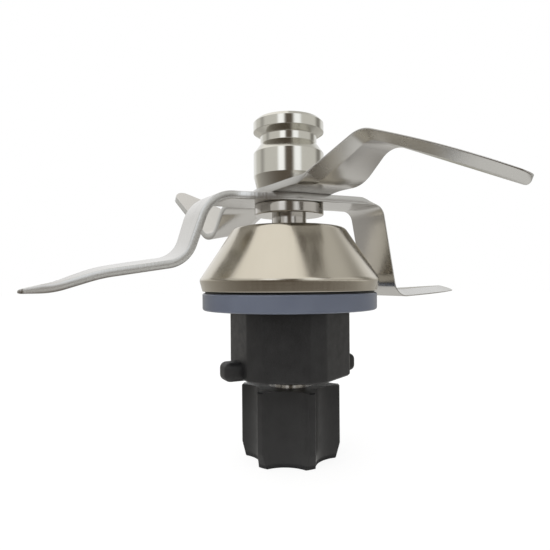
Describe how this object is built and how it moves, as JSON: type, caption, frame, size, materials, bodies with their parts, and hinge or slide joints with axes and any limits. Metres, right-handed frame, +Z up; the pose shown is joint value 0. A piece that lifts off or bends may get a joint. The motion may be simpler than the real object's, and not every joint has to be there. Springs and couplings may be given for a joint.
{
  "type": "blender blade assembly",
  "caption": "Mixing knife of a cooking blender: bent, ground blades and a knob on a shaft in sealed ball bearings, with a bayonet body, bowl seal and lobed drive coupling.",
  "frame": {"origin": "on the shaft axis, in the plane of the drive coupling's foot", "axes": "+Z up the shaft from the coupling to the knob; -Y is the side the picture shows"},
  "size_m": [0.1016, 0.093, 0.0834],
  "materials": {
    "body_plastic": "fine moulded grain",
    "coupling_plastic": "satin moulded",
    "cover_steel": "satin, turned",
    "sleeve_steel": "turned",
    "turned_steel": "turned and polished",
    "blade_steel": "satin brushed, ground edges",
    "bearing_steel": "ground",
    "seal_rubber": "soft satin",
    "ring_rubber": "matt",
    "cage_plastic": "moulded"
  },
  "bodies": {
    "housing": {"bayonet_body": "body_plastic", "bearing_sleeve": "sleeve_steel", "bearing_cover": "cover_steel", "bowl_seal": "seal_rubber", "cover_o_ring": "ring_rubber", "shaft_seal": "ring_rubber", "seal_spring": "bearing_steel", "sleeve_circlip": "bearing_steel", "upper_outer_ring": "bearing_steel", "lower_outer_ring": "bearing_steel"},
    "rotor": {"drive_shaft": "turned_steel", "coupling_hub": "turned_steel", "drive_coupling": "coupling_plastic", "thrust_washer": "turned_steel", "bearing_spacer": "turned_steel", "upper_inner_ring": "bearing_steel", "lower_inner_ring": "bearing_steel", "blade_collar": "turned_steel", "lower_blade": "blade_steel", "upper_blade": "blade_steel", "whisk_knob": "turned_steel"},
    "upper_ball_row": {"upper_balls": "bearing_steel", "upper_cage": "cage_plastic"},
    "lower_ball_row": {"lower_balls": "bearing_steel", "lower_cage": "cage_plastic"}
  },
  "joints": [
    {"name": "rotor_spin", "type": "hinge", "parent": "housing", "child": "rotor", "pos_m": [0, 0, 0.04], "axis": [0, 0, 1], "continuous": true},
    {"name": "upper_cage_spin", "type": "hinge", "parent": "housing", "child": "upper_ball_row", "pos_m": [0, 0, 0.0446], "axis": [0, 0, 1], "continuous": true},
    {"name": "lower_cage_spin", "type": "hinge", "parent": "housing", "child": "lower_ball_row", "pos_m": [0, 0, 0.0266], "axis": [0, 0, 1], "continuous": true}
  ],
  "couplings": [
    {"joint": "upper_cage_spin", "follows": "rotor_spin", "ratio": 0.3824},
    {"joint": "lower_cage_spin", "follows": "rotor_spin", "ratio": 0.3824}
  ]
}
